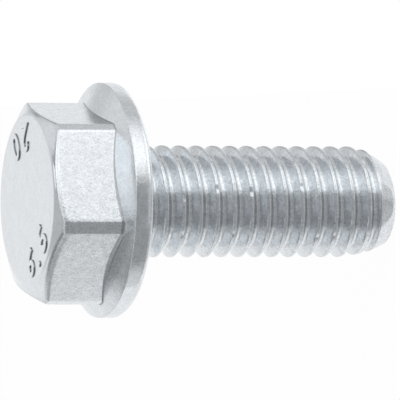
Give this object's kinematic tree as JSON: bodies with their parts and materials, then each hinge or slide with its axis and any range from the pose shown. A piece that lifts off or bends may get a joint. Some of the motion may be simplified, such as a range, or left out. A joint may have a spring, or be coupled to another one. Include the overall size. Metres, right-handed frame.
{
  "type": "hexagon flange bolt",
  "caption": "Short metric bolt with a hexagon head on a round flange and a thread up to the head; clamps two parts and spreads the load like a washer.",
  "frame": {"origin": "where the bolt's axis meets the bearing face under the flange", "axes": "+Z along the axis, up through the head; the threaded shank hangs down -Z; two opposite corners of the hexagon lie on X, so two of its flats face +Y and -Y"},
  "size_m": [0.0164, 0.0164, 0.0262],
  "materials": {
    "zinc_plated_steel": "satin bright zinc plating on forged steel"
  },
  "bodies": {
    "root": {"flange_bolt": "zinc_plated_steel"}
  },
  "joints": []
}
